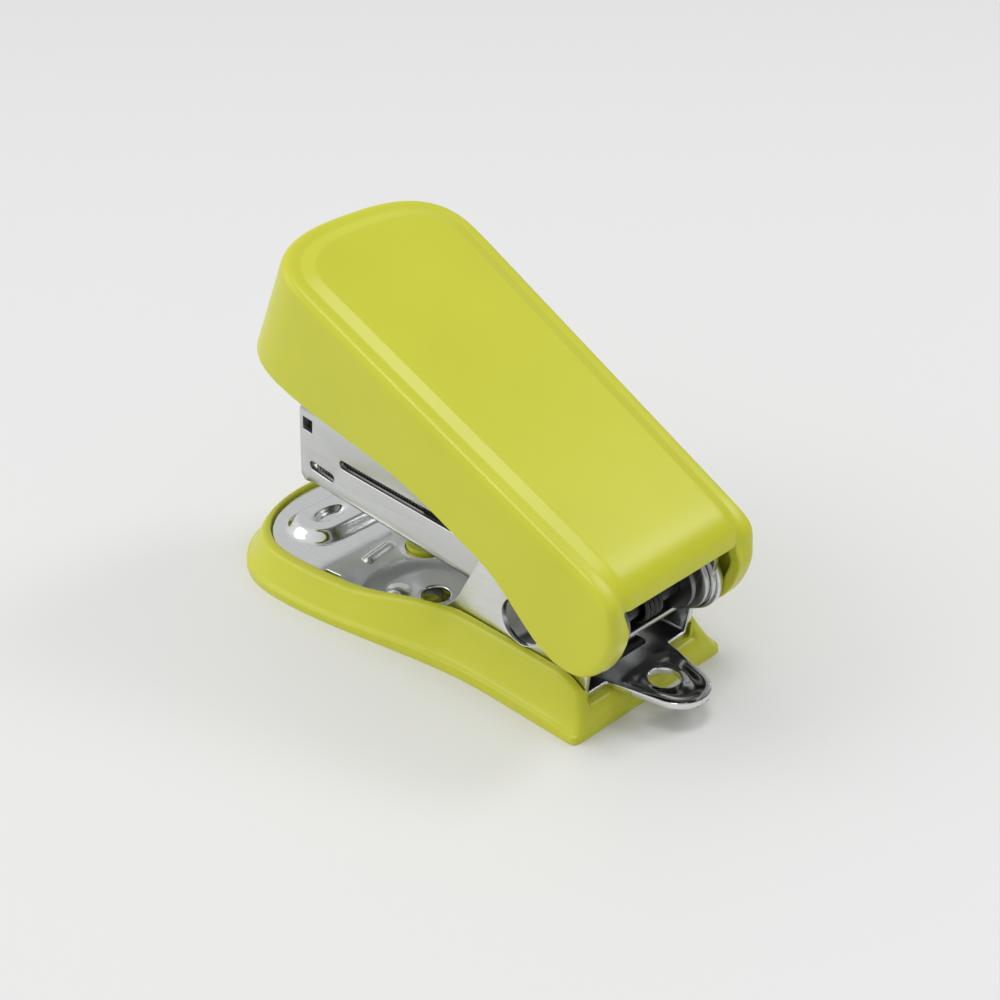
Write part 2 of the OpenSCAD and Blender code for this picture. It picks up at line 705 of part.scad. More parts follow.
// The cover's outer form, or its hollow when it is drawn in by the wall's thickness.
module cover_solid(inset, top, drop) {
  wall = [for (s = cover_levels) [for (p = cover_half(inset, s[1] - inset))
    [p.x, p.y, mix(edge_z(p.x) - drop, top - fillet, s[0] / 0.93)]]];
  roof = [for (s = roof_levels) [for (p = cover_half(inset + s[0] * fillet, s[2] - inset))
    [p.x, p.y, top - s[1] * fillet]]];
  loft([for (h = concat(wall, roof)) ring(h)]);
}

// The raised top panel, with a soft edge.
module cover_panel() {
  steps = [[0, -0.5, 1.1], [0, 0.1, 0.4], [0.25, 0.75, -0.4], [0.7, 1, -1.6]];
  loft([for (s = steps) ring([for (p = cover_half(fillet + ledge_w + s[0], s[2]))
    [p.x, p.y, cover_h + s[1] * panel_h]])]);
}

rib_t = 1.2;
module handle_cover() {
  opening_half = ear_out + 0.25;
  color(lime) on_pin(handle_tilt) {
    difference() {
      union() {
        cover_solid(0, cover_h, 0);
        cover_panel();
      }
      cover_solid(cover_t, cover_h - cover_t, arm_h);
      translate([-2, -opening_half, -cover_h]) cube([2 * lobe_r, 2 * opening_half, cover_h + opening_h]);
    }
    for (s = [-1, 1]) translate([-0.86 * mag_l, s * arm_out / 2 - rib_t / 2, arm_h])
      cube([0.74 * mag_l, rib_t, roof_gap + 0.2]);
    for (s = [-1, 1], x = [-0.78 * mag_l, -0.56 * mag_l]) mirror([0, s < 0 ? 1 : 0, 0])
      translate([x, arm_out, 1]) cube([rib_t, cover_side(x) - arm_out - 0.5, arm_h]);
  }
}

// The front of the handle frame in the driver's own frame, which is upright when the driver is down.
module in_blade_frame() {
  rotate([0, -press_turn, 0]) children();
}
tab_top = (arm_h + blade_back * sin(press_turn)) / cos(press_turn);
tab_foot = tab_top - arm_h;

module handle_frame() {
  arm_l = blade_back * cos(press_turn) + tab_top * sin(press_turn) - 0.4;
  color(steel) on_pin(handle_tilt) difference() {
    union() {
      sheet_pair(arm_in, arm_t) difference() {
        union() {
          polygon([[-arm_l, arm_h], [-arm_l + 2, 0.4 * arm_h], [-3.5 * lobe_r, 0.6], [-1.5 * lobe_r, -0.6],
                   [0, -arm_lobe_r], [arm_lobe_r * 0.9, 0], [arm_lobe_r * 0.6, 0.65 * arm_h], [0.5, arm_h]]);
          circle(r = arm_lobe_r);
        }
        circle(r = pin_r + pin_play);
      }
      translate([-arm_l, -arm_out + eps, arm_h - arm_t]) cube([arm_l + 0.5, 2 * (arm_out - eps), arm_t]);
      in_blade_frame() translate([-blade_back, -blade_w / 2, tab_foot])
        cube([arm_t, blade_w, tab_top - tab_foot - 0.1]);
    }
    in_blade_frame() blade_rivet_places() rotate([0, 90, 0]) cylinder(r = rivet_r, h = 6, center = true);
  }
}

module blade_rivet_places() {
  for (s = [-1, 1]) translate([-blade_back, s * blade_w / 4, tab_top - 3.6]) children();
}

module driver_blade() {
  color("silver") on_pin(handle_tilt) in_blade_frame() difference() {
    translate([-blade_front, -blade_w / 2, 0.1 - mag_drop]) cube([blade_t, blade_w, tab_top - 1 + mag_drop]);
    blade_rivet_places() rotate([0, 90, 0]) cylinder(r = rivet_r, h = 6, center = true);
  }
}

module blade_rivets() {
  color(dark_steel) on_pin(handle_tilt) in_blade_frame() blade_rivet_places() rotate([0, 90, 0]) {
    translate([0, 0, -blade_t]) cylinder(r = rivet_r, h = blade_t + arm_t);
    translate([0, 0, -blade_t - 0.3]) cylinder(r = rivet_head_r, h = 0.3);
    translate([0, 0, arm_t]) cylinder(r = rivet_head_r, h = 0.4);
  }
}

base_shell();
base_frame();
lift_spring();
lift_spring_rivet();
magazine();
staple_rail();
staple_strip();
pusher();
pusher_spring();
guide_rod();
rod_bracket();
bracket_rivet();
rod_clip();
hinge_spacers();
hinge_pin();
hinge_spring();
handle_cover();
handle_frame();
driver_blade();
blade_rivets();
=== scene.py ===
import json
import math

import bmesh
import bpy
from mathutils import Matrix, Vector
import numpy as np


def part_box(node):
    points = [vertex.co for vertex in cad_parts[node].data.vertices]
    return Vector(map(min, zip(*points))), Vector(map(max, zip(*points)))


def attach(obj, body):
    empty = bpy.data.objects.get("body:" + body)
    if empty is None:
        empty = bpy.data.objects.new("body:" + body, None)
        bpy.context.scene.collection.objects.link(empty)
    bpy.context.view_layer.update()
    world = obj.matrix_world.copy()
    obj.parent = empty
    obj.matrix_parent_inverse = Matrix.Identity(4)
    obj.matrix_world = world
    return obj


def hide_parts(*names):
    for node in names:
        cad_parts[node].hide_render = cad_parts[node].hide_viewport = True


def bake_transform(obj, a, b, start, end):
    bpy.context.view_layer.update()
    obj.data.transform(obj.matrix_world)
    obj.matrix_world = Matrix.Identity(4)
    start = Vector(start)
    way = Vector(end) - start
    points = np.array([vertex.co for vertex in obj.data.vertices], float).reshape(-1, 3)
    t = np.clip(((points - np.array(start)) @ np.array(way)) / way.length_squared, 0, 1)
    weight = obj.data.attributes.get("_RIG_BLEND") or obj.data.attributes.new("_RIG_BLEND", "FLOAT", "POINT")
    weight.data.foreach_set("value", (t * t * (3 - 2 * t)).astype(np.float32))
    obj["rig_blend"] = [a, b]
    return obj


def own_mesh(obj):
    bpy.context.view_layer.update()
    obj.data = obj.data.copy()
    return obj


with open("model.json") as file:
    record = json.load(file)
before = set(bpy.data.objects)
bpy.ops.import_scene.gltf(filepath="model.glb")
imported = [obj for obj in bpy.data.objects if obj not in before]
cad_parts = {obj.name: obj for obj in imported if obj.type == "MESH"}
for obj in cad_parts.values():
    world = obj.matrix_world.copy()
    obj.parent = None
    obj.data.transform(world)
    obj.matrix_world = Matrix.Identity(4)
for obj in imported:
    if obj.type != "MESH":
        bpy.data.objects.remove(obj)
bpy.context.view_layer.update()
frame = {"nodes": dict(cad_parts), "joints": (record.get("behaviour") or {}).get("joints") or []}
mm = 0.001    # sizes are written in millimetres, and this makes them metres

# ---- Camera ----
# A long lens looks down over the near rear corner of the stapler.
eye = Vector((130.9, -125.7, 122.4)) * mm
look_at = Vector((-12.2, 18.4, 0)) * mm
camera = bpy.data.objects.new("camera", bpy.data.cameras.new("camera"))
camera.data.sensor_width = 36
camera.data.lens = 64.8
camera.data.clip_start = 0.01
camera.location = eye
camera.rotation_euler = (look_at - eye).to_track_quat("-Z", "Y").to_euler()
bpy.context.scene.collection.objects.link(camera)
bpy.context.scene.camera = camera
bpy.context.scene.view_settings.view_transform = "Standard"


# ---- Base shell ----
# The lime plastic foot: a round front, a waist, and a raised rim round the tray that the
# steel frame lies in. It is one moulding, hollow and ribbed underneath and open at the rear.
class Number:
    """A value among a material's nodes. A sum that is written with it adds Math nodes."""
    def __init__(self, finish, socket):
        self.finish = finish
        self.socket = socket

    def sum(self, operation, *values):
        return self.finish.number("ShaderNodeMath", {"operation": operation}, *values)

    def __add__(self, other):
        return self.sum("ADD", self, other)

    def __mul__(self, other):
        return self.sum("MULTIPLY", self, other)

    def __sub__(self, other):
        return self.sum("SUBTRACT", self, other)

    def __rsub__(self, other):
        return self.sum("SUBTRACT", other, self)

    __radd__ = __add__
    __rmul__ = __mul__


class Finish:
    """One material, with its nodes and the sockets of its shader."""
    def __init__(self, name):
        self.material = bpy.data.materials.new(name)
        self.material.use_nodes = True
        self.tree = self.material.node_tree
        self.shader = self.tree.nodes["Principled BSDF"]
        self.place = self.node("ShaderNodeTexCoord").outputs["Object"]

    def join(self, value, socket):
        """Links a value to a socket, or sets the socket to it."""
        if isinstance(value, Number):
            value = value.socket
        if isinstance(value, bpy.types.NodeSocket):
            self.tree.links.new(value, socket)
        else:
            socket.default_value = value

    def node(self, kind, settings={}, *values, **named):
        """A node with its settings, and its sockets by number and by name."""
        made = self.tree.nodes.new(kind)
        for key, value in settings.items():
            if key == "stops":
                for stop, (at, tone) in zip(made.color_ramp.elements, value):
                    stop.position = at
                    stop.color = (tone, tone, tone, 1)
            else:
                setattr(made, key, value)
        for index, value in enumerate(values):
            self.join(value, made.inputs[index])
        for key, value in named.items():
            self.join(value, made.inputs[key])
        return made

    def number(self, kind, settings={}, *values, **named):
        return Number(self, self.node(kind, settings, *values, **named).outputs[0])

    def noise(self, scale, stretch=(1, 1, 1), detail=3):
        """Noise between 0 and 1. scale is its waves per metre, and stretch scales each axis."""
        mapped = self.node("ShaderNodeMapping", {}, self.place, Scale=stretch).outputs[0]
        return self.number("ShaderNodeTexNoise", {}, Vector=mapped, Scale=scale, Detail=detail)

    def ramp(self, value, *stops):
        """A straight climb between two stops, each a value and the tone it becomes."""
        return self.number("ShaderNodeValToRGB", {"stops": stops}, value)

    def blend(self, factor, first, second):
        """A colour between two, by a factor from 0 to 1."""
        mix = self.node("ShaderNodeMix", {"data_type": "RGBA"})
        self.join(factor, mix.inputs["Factor"])
        self.join((*first, 1), mix.inputs[6])
        self.join((*second, 1), mix.inputs[7])
        return mix.outputs[2]

    def set(self, **values):
        """Sets the shader's sockets, whose names are written with _ for a space."""
        for key, value in values.items():
            self.join(value, self.shader.inputs[key.replace("_", " ")])

    def bump(self, height, depth, edge=0):
        """Relief of the given depth in metres, over edges rounded by the given radius."""
        named = {"Height": height, "Distance": depth, "Strength": 1.0}
        if edge:
            named["Normal"] = self.node("ShaderNodeBevel", {"samples": 4}, edge).outputs[0]
        self.set(Normal=self.node("ShaderNodeBump", {}, **named).outputs[0])


def lime_plastic(name, light, deep):
    """Satin moulded plastic with a faint cloudiness and a fine grain."""
    finish = Finish(name)
    cloud = finish.ramp(finish.noise(70), (0.35, 0), (0.65, 1))
    grain = finish.noise(2600, detail=2)
    finish.set(Base_Color=finish.blend(cloud, light, deep), Roughness=0.3 + 0.06 * grain)
    finish.set(IOR=1.5)
    finish.bump(grain, 0.000012)
    return finish.material


base_lo, base_hi = [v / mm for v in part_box("base_shell")]
rear_x = base_hi.x
front_x = base_lo.x
base_front_w = base_hi.y - base_lo.y
base_rear_w = 25.02
base_wide_x = front_x + 13.5
base_waist_x = rear_x - 13
base_power = 2.2              # how square the round front is
base_corner = 0.8
base_lean = 2.1               # how far the wall leans in as it climbs
crest_lean = 1.25             # the rim's crest lies this many leans in from the floor's edge
rim_w = 1.4
rim_in = base_lean + rim_w    # from the floor's edge in to the tray
rim_front_in = rim_in - 0.9
rim_climb = (base_wide_x + 10, base_wide_x + 22)    # the rim climbs between these towards the ears
rim_front_h = 4.5
rim_ear_h = 6.1
rim_rear_h = 3.9
rim_ear_crest = 0.93          # beside the ears the crest is this share of the way to the tray
tray_z = 3.1
tray_gap = 0.1
under_z = 1.8
rear_draft = 1.7
ear_out = 8.91
ear_front_x = rear_x - 21.1
plate_hole = (1.6, 6.2, 1.85)    # x, y and radius
post_x = -6.8
post_r = 2.4


def limited(t):
    """A share kept between 0 and 1."""
    return max(0.0, min(1.0, t))


def ease(t):
    """A soft step from 0 to 1."""
    t = limited(t)
    return t * t * (3 - 2 * t)


def slope(x, start, end):
    """A soft step from 0 at start to 1 at end."""
    return ease((x - start) / (end - start))


def mix(a, b, t):
    return a + (b - a) * t


def first_loop(bm, points):
    """A closed loop of edges, made as a circle and moved onto points."""
    loop = bmesh.ops.create_circle(bm, segments=len(points), radius=1)["verts"]
    for vert, point in zip(loop, points):
        vert.co = point
    return loop


def next_loop(bm, loop, points):
    """Extrudes a closed loop once and moves the new loop onto points."""
    made = set(bmesh.ops.extrude_edge_only(bm, edges=loop_edges(bm, loop))["geom"])
    grown = [next(e.other_vert(v) for e in v.link_edges if e.other_vert(v) in made) for v in loop]
    for vert, point in zip(grown, points):
        vert.co = point
    return grown


def mirrored(half):
    """A loop from its -Y half, which runs from the front tip to the middle of the rear."""
    return half + [Vector((p.x, -p.y, p.z)) for p in half[-2:0:-1]]


merge_dist = 0.01 * mm


def finished_piece(name, bm, material, body):
    """Turns a mesh into a smooth piece. It rides on a body, unless it is to bend between two."""
    bmesh.ops.remove_doubles(bm, verts=bm.verts, dist=merge_dist)
    bmesh.ops.recalc_face_normals(bm, faces=bm.faces)
    for face in bm.faces:
        face.smooth = True
    mesh = bpy.data.meshes.new(name)
    bm.to_mesh(mesh)
    bm.free()
    mesh.materials.append(material)
    piece = bpy.data.objects.new(name, mesh)
    bpy.context.scene.collection.objects.link(piece)
    if body:
        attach(piece, body)
    return piece


def smoothed(piece, levels):
    """Adds a subdivision surface."""
    surface = piece.modifiers.new("smooth", "SUBSURF")
    surface.levels = levels
    surface.render_levels = levels


def skirt(x):
    """Half width of the base at the floor."""
    return mix(base_front_w, base_rear_w, slope(x, base_wide_x, base_waist_x)) / 2


def tray_half(x):
    """Half width of the tray: it follows the skirt, then closes in on the frame's ears."""
    return mix(skirt(x) - rim_in, ear_out + tray_gap, slope(x, ear_front_x - 3.5, ear_front_x + 0.1))


def rim_half(x, share):
    """Half width at a level: shares to 1 climb the wall to its crest, the next 1 reaches the tray."""
    crest = mix(crest_lean * base_lean / rim_in, rim_ear_crest, slope(x, *rim_climb))
    share = crest * share if share <= 1 else mix(crest, 1, share - 1)
    return mix(skirt(x), tray_half(x), share)


def rim_height(x):
    """Height of the rim's crest: low at the front, high beside the ears, low again at the rear."""
    side = mix(rim_front_h, rim_ear_h, slope(x, *rim_climb))
    return mix(side, rim_rear_h, slope(x, rear_x - 4.5, rear_x))


def spread(a, b, steps):
    """Even steps from a, which stop one short of b."""
    return [mix(a, b, i / steps) for i in range(steps)]


def rounded_front(x0, x1, half_width, power, steps):
    """Quarter of a rounded front, from its tip at x0 to its widest place at x1."""
    for i in range(steps):
        a = math.pi / 2 * i / steps
        yield x1 - (x1 - x0) * math.cos(a) ** (2 / power), -half_width * math.sin(a) ** (2 / power)


def rear_corner(rear, edge, corner, points=4):
    """The rounded corner between a side, at y = edge, and the rear."""
    for i in range(points):
        a = math.pi / 2 * i / (points - 1)
        yield rear - corner + corner * math.sin(a), edge + corner - corner * math.cos(a)


def base_loop(inset, rear, height, rear_height=None, corner=base_corner, half_width=None,
              drawn_back=None):
    """One level of the base, inset from its edge at the floor. height is a number or a rule along x.

    rear_height is the rear's height between the rim's two ends, and drawn_back the inset at the tip.
    """
    half_width = half_width or (lambda x: skirt(x) - inset)
    drawn_back = inset if drawn_back is None else drawn_back
    tip_x = front_x + drawn_back
    side = list(rounded_front(tip_x, base_wide_x, base_front_w / 2 - inset, base_power, 12))
    for x in spread(base_wide_x, rear - corner, 24):
        side.append((x, -half_width(x)))
    edge = -half_width(rear)
    side += rear_corner(rear, edge, corner)
    half = [Vector((x, y, height(x) if callable(height) else height)) for x, y in side]
    step_y = -tray_half(rear)
    rim_end = (step_y - 0.35, step_y - 0.1)
    opening = (step_y + 0.1, step_y + 0.4, step_y + 2, -5, -2.5, 0)
    for y in rim_end + opening:
        z = rear_height if y in opening and rear_height is not None else half[-1].z
        half.append(Vector((rear, max(y, edge + corner + 0.02), z)))
    return [p * mm for p in mirrored(half)]


def loop_edges(bm, loop):
    """The edges of a closed loop of vertices."""
    return [bm.edges.get((loop[i - 1], loop[i])) for i in range(len(loop))]


def holed_floor(bm, loop, z, holes):
    """Fills a loop with a flat floor that has round holes, and returns the holes' loops."""
    edges = loop_edges(bm, loop)
    rings = []
    for x, y, r in holes:
        ring = bmesh.ops.create_circle(bm, segments=32, radius=r * mm)["verts"]
        for vert in ring:
            vert.co += Vector((x, y, z)) * mm
        rings.append(ring)
        edges += loop_edges(bm, ring)
    bmesh.ops.triangle_fill(bm, edges=edges, use_beauty=True)
    return rings


def crease(bm, edges):
    """Keeps edges sharp under a subdivision surface."""
    sharp = bm.edges.layers.float["crease_edge"]
    for edge in edges:
        edge[sharp] = 1.0


# Each row holds how far a level of the outer wall has leaned in, its share of the rim's height,
# and its share of the rear's draft. The small ledge at a quarter of the height is a parting step.
wall_levels = ((0, 0, 0), (0, 0.03, 0), (0, 0.2, 0.04), (0.04, 0.23, 0.06), (0.18, 0.255, 0.1),
               (0.3, 0.34, 0.14), (0.5, 0.52, 0.25), (0.72, 0.7, 0.5), (0.88, 0.86, 0.8),
               (0.97, 0.94, 0.9), (1.08, 0.985, 0.97), (crest_lean, 1, 1))
under_levels = ((1.9, under_z), (1.6, 1.6), (1.6, 0.3), (1.5, 0.02), (0.25, 0))    # inset and z
crest_levels = ((0.35, 0.01), (0.8, 0.03), (0.95, 0.09), (1, 0.3))    # share across and drop
tray_levels = ((0, 0.3), (0.3, 0.6), (1.5, 1.8))    # inset from the rim and from the rear
tight_corner = 0.05


def base_mesh():
    """The moulding, from the underside out to its foot, up the wall, over the rim and into the tray."""
    bm = bmesh.new()
    bm.edges.layers.float.new("crease_edge")    # comes first, because it drops held vertices
    hole_x, hole_y, hole_r = plate_hole
    holes = [(hole_x, side * hole_y, hole_r + 0.4) for side in (-1, 1)]
    loop = first_loop(bm, base_loop(3.2, rear_x - 3.2, under_z))
    under_holes = holed_floor(bm, loop, under_z, holes)
    for inset, z in under_levels:
        loop = next_loop(bm, loop, base_loop(inset, rear_x - inset, z))
    for lean, share, draft in wall_levels:
        low = min(share * rim_height(rear_x), tray_z - 0.02 * (1 - share))
        rule = lambda x, s=share: s * rim_height(x)
        half = lambda x, s=lean: rim_half(x, s / crest_lean)
        rear = rear_x - rear_draft * draft
        loop = next_loop(bm, loop, base_loop(lean * base_lean, rear, rule, low, half_width=half))
    crest_w = rim_in - crest_lean * base_lean
    for share, drop in crest_levels:
        rule = lambda x, d=drop: max(tray_z + 0.05, rim_height(x) - d)
        half = lambda x, s=share: rim_half(x, 1 + s)
        outside = crest_w * (1 - share)
        rear = rear_x - rear_draft - 0.15
        loop = next_loop(bm, loop, base_loop(rim_in - outside, rear, rule, tray_z, tight_corner,
                                             half, rim_front_in - outside))
    for inside, back in tray_levels:
        half = lambda x, d=inside: tray_half(x) - d
        rear = rear_x - rear_draft - back
        loop = next_loop(bm, loop, base_loop(rim_in + inside, rear, tray_z, None, tight_corner,
                                             half, rim_front_in + inside))
    tray_holes = holed_floor(bm, loop, tray_z, holes)
    for low, high in zip(under_holes, tray_holes):
        edges = loop_edges(bm, low) + loop_edges(bm, high)
        crease(bm, edges)
        bmesh.ops.bridge_loops(bm, edges=edges)
    return bm


base_lime = lime_plastic("base_plastic", (0.60, 0.615, 0.031), (0.575, 0.59, 0.027))
base = finished_piece("base_moulding", base_mesh(), base_lime, "base")
smoothed(base, 2)
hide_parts("base_shell")


def box(bm, low, high, place=Matrix()):
    """A block between two corners in millimetres, set in place."""
    low = Vector(low)
    high = Vector(high)
    size = Matrix.Diagonal((*((high - low) * mm), 1))
    bmesh.ops.create_cube(bm, size=1, matrix=place @ Matrix.Translation((low + high) / 2 * mm) @ size)


def disc(bm, x, r, z0, z1):
    """An upright cylinder on the middle line, in millimetres."""
    place = Matrix.Translation(Vector((x, 0, (z0 + z1) / 2)) * mm)
    bmesh.ops.create_cone(bm, cap_ends=True, segments=64, radius1=r * mm, radius2=r * mm,
                          depth=(z1 - z0) * mm, matrix=place)


def broken_edges(piece, width, segments=2):
    """Rounds the sharp edges of a piece a little."""
    broken = piece.modifiers.new("broken edges", "BEVEL")
    broken.width = width * mm
    broken.segments = segments
    broken.limit_method = "ANGLE"
    broken.angle_limit = math.radians(50)
    broken.use_clamp_overlap = False


# Ribs and a boss stiffen the hollow underside, and a domed post holds the frame down.
base_wall_t = 1.5
cross_rib_x = (-14, 0, 14)
cross_rib_t = 1.2
long_rib_t = 2
boss_r = 4
post_top = 4.3
bm = bmesh.new()
for x in cross_rib_x:
    reach = skirt(x) - base_wall_t
    box(bm, (x - cross_rib_t / 2, -reach, 0.02), (x + cross_rib_t / 2, reach, under_z + 0.1))
box(bm, (front_x + base_wall_t, -long_rib_t / 2, 0.03),
    (rear_x - base_wall_t, long_rib_t / 2, under_z + 0.12))
disc(bm, 0, boss_r, 0, under_z + 0.15)
disc(bm, post_x, post_r, tray_z - 0.3, post_top)
ribs = finished_piece("base_ribs_and_post", bm, base_lime, "base")
broken_edges(ribs, 0.25, 3)

# ---- Handle cover ----
# The lime plastic lever: a thin-walled shell with a round nose, a raised panel on top that
# rolls over the rear, and an opening between two round cheeks at the hinge.
joints = {joint["name"]: joint for joint in frame["joints"]}
pin = Vector(joints["handle_hinge"]["pos_m"])
handle_tilt = math.radians(24.7)
cover_place = Matrix.Translation(pin) @ Matrix.Rotation(handle_tilt, 4, "Y")
cover_l = 55.45
cover_front_w = 27.4
cover_rear_w = 23.82
cover_h = 9.6
cover_t = 1.4
cover_wide_x = 9.2 - cover_l
cover_power = 2.7             # how square the nose is
cover_fillet = 1.0
edge_z = -0.3                 # the lower edge, and how far it dips at the nose and the hinge
nose_dip = 3.9
hinge_dip = 3.1
panel_start = 1.9             # the raised panel begins this far in from the sides
panel_slope = 1.5
panel_h = 0.5
opening_y = 9.16
opening_h = 7.4
cheek_out = 1.0
front_points = 12             # how many points draw the nose, each side and half the rear
side_points = 16
rear_points_y = (-10.6, -10.2, -10.05, -9.75, -9.45, -opening_y, -8.8, -8.5, -7, -4.5, -2, 0)


def cover_side(x):
    """Half width of the cover behind its nose."""
    return mix(cover_front_w, cover_rear_w, limited((x - cover_wide_x) / -cover_wide_x)) / 2


def cover_edge(x):
    """Height of the lower edge."""
    return edge_z - nose_dip * slope(x, -22, -48) - hinge_dip * slope(x, -13, -1)


def cover_loop(inset, rear, height, lean, cheek=0):
    """One level of the cover, whose cheeks reach out behind its rear by cheek.

    The panel stands out from it along lean, away from the sides.
    """
    reach = rear + cheek
    corner = max(0.05, cover_fillet - 0.5 * inset)
    widest = cover_front_w / 2 - inset
    flat = list(rounded_front(inset - cover_l, cover_wide_x, widest, cover_power, front_points))
    for x in spread(cover_wide_x, reach - corner, side_points):
        flat.append((x, inset - cover_side(x)))
    edge = inset - cover_side(reach)
    flat += rear_corner(reach, edge, corner)
    for y in rear_points_y:
        flat.append((rear + cheek * slope(-y, 9.3, 10.4), max(y, edge + corner)))
    half = []
    for i, (x, y) in enumerate(flat):
        z = height(x) if callable(height) else height
        depth = inset if i < front_points + side_points else cover_side(x) + y
        climb = limited((depth - panel_start) / panel_slope)
        half.append(Vector((x + panel_h * climb * lean[0], y, z + panel_h * climb * lean[1])))
    return [cover_place @ (p * mm) for p in mirrored(half)]


def spine_of(points):
    """The line under the middle of a panel that its loop shrinks to."""
    level = cover_place.inverted()
    flat = [level @ p / mm for p in points]
    front = min(p.x for p in flat) + 10
    rear = max(p.x for p in flat) - 6
    return [cover_place @ (Vector((max(front, min(rear, p.x)), 0, p.z)) * mm) for p in flat]


# The wall's levels, as a share of the height and where the rear is: the cheeks' round outline.
cheek_levels = ((0, 0.6), (0.02, 1.7), (0.06, 2.9), (0.12, 3.8), (0.2, 4.4), (0.3, 4.9),
                (0.45, 5.1), (0.6, 4.95), (0.72, 4.55))
# The roof's levels, as inset, height and where the rear is: the sides' fillet, the roll over the
# opening, and the climb onto the panel.
roof_levels = ((0, opening_h - 0.4, 2.85), (0, opening_h, 2.65), (0, 8, 2.3), (0, 8.4, 2),
               (0.03, 8.75, 1.65), (0.12, 9.05, 1.15), (0.3, 9.32, 0.5), (0.55, 9.5, -0.3),
               (0.9, 9.58, -1.2), (1.4, 9.6, -2.1), (1.8, 9.6, -2.9), (1.95, 9.6, -3.2),
               (2.2, 9.6, -3.7), (2.65, 9.6, -4.5), (3.1, 9.6, -5.2), (3.35, 9.6, -5.6),
               (3.5, 9.6, -5.8), (3.9, 9.6, -6.4))
full_height = 0.93            # the share of the height at which the fillet would begin


def cover_mesh():
    """The outer skin, from its lower edge up the sides and in over the roof to the panel's middle."""
    bm = bmesh.new()
    top = cover_h - cover_fillet
    loop = None
    for share, rear in cheek_levels:
        height = lambda x, s=share: mix(cover_edge(x), top, s / full_height)
        points = cover_loop(0, rear, height, (0, 0))
        loop = next_loop(bm, loop, points) if loop else first_loop(bm, points)
    for inset, z, rear in roof_levels:
        turn = limited((rear + 3) / 7) * math.pi / 2
        cheek = cheek_out * slope(rear, -0.5, 2)
        points = cover_loop(inset, rear, z, (math.sin(turn), math.cos(turn)), cheek)
        loop = next_loop(bm, loop, points)
    for share in (0.25, 0.55, 0.8, 1):
        loop = next_loop(bm, loop, [p.lerp(q, share) for p, q in zip(points, spine_of(points))])
    level = cover_place.inverted()
    hole = []
    for face in bm.faces:
        centre = level @ face.calc_center_median() / mm
        if abs(centre.y) < opening_y and centre.x > 0 and centre.z < opening_h:
            hole.append(face)
    bmesh.ops.delete(bm, geom=hole, context="FACES")
    return bm


cover_lime = lime_plastic("cover_plastic", (0.615, 0.63, 0.031), (0.59, 0.605, 0.027))
cover = finished_piece("cover_moulding", cover_mesh(), cover_lime, "handle")
cover_wall = cover.modifiers.new("wall", "SOLIDIFY")
cover_wall.thickness = cover_t * mm
cover_wall.offset = -1
cover_wall.edge_crease_rim = 0.8
cover_wall.edge_crease_outer = 0.8
cover_wall.edge_crease_inner = 0.8
smoothed(cover, 2)
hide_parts("handle_cover")

# Ribs inside the roof and the sides steady the cover on the handle frame.
arm_out = 8.03
arm_h = 7.4
cover_rib_t = 1.2
cover_rib_top = 8.4
bm = bmesh.new()
for side in (-1, 1):
    y = side * arm_out / 2
    box(bm, (-41.9, y - cover_rib_t / 2, arm_h + 0.01),
        (-5.9, y + cover_rib_t / 2, cover_rib_top), cover_place)
    for x in (-38, -27.3):
        near = side * (arm_out + 0.01)
        far = side * (cover_side(x) - 0.7)
        box(bm, (x, min(near, far), 1),
            (x + cover_rib_t, max(near, far), cover_rib_top - 0.1), cover_place)
cover_ribs = finished_piece("cover_ribs", bm, cover_lime, "handle")
broken_edges(cover_ribs, 0.1)

# ---- Base frame ----
# One stamping of chromed sheet lies in the tray: the plate with its raised anvil, two ears
# bent up to carry the hinge pin, and a dished tongue with a hole that stands out behind.
def chrome(name, tone, roughness, streak, edge=0, satin=0):
    """Plated sheet: fine rubbing marks along the sheet, and a slightly wavy surface.

    satin is how much rougher it is where it stands up out of the base.
    """
    finish = Finish(name)
    marks = finish.noise(500, stretch=streak, detail=5)
    waves = finish.noise(160, detail=1)
    worn = finish.ramp(marks, (0.4, 0), (0.75, 1))
    finish.set(Base_Color=finish.blend(worn, tone, [0.95 * c for c in tone]), Metallic=1.0)
    rough = roughness + 0.3 * roughness * marks
    if satin:
        parts = finish.node("ShaderNodeSeparateXYZ", {}, finish.place)
        height = Number(finish, parts.outputs["Z"])
        rough = rough + satin * finish.ramp(height * 50, (0.28, 0), (0.36, 1))
    finish.set(Roughness=rough)
    finish.bump(waves + 0.03 * marks, 0.00005, edge)
    return finish.material


sheet_t = 0.8
plate_z = 3.9
plate_gap = 0.15
frame_x = rear_x - 2.1        # where the plate ends and the tongue begins
plate_tip_x = front_x + rim_front_in + plate_gap
ear_y = ear_out - sheet_t
bend_r = 0.2                  # the bend between the plate and an ear
bend_l = bend_r * math.pi / 2
bend_share = 1.25
fold_start_x = 0.6            # the plate's sides turn up between these two
fold_end_x = 6
rise_r = 8                    # the curve in which an ear climbs out of the plate
rise_x = ear_front_x - rise_r * math.cos(math.radians(25))
anvil_x = -19.15
anvil_h = 1.2
anvil_half_l = 6.3
anvil_foot_r = 4.4
anvil_top_r = 2.8
pocket_y = 4.7                # the hollow in the anvil that closes a staple's leg
pocket_depth = 0.8
stiffener_ends = (-9.0, 7.3, -9.7, 3.4)
stiffener_h = 0.4
dish_depth = 0.45             # the plate is dished round each plate_hole
pimple_h = 0.35
sink_depth = 0.15             # and sunk a little round the post
notch_x = -10
notch_depth = 0.8
tongue_half = 5.2
tongue_neck_half = 3.59
tongue_tip_x = frame_x + 5.8
tongue_round_x = tongue_tip_x + 0.9
tongue_r = 3.7
tongue_hole_x = frame_x + 3.9
tongue_hole_r = 1.8
tongue_dish = 0.3
tongue_lip = 0.08


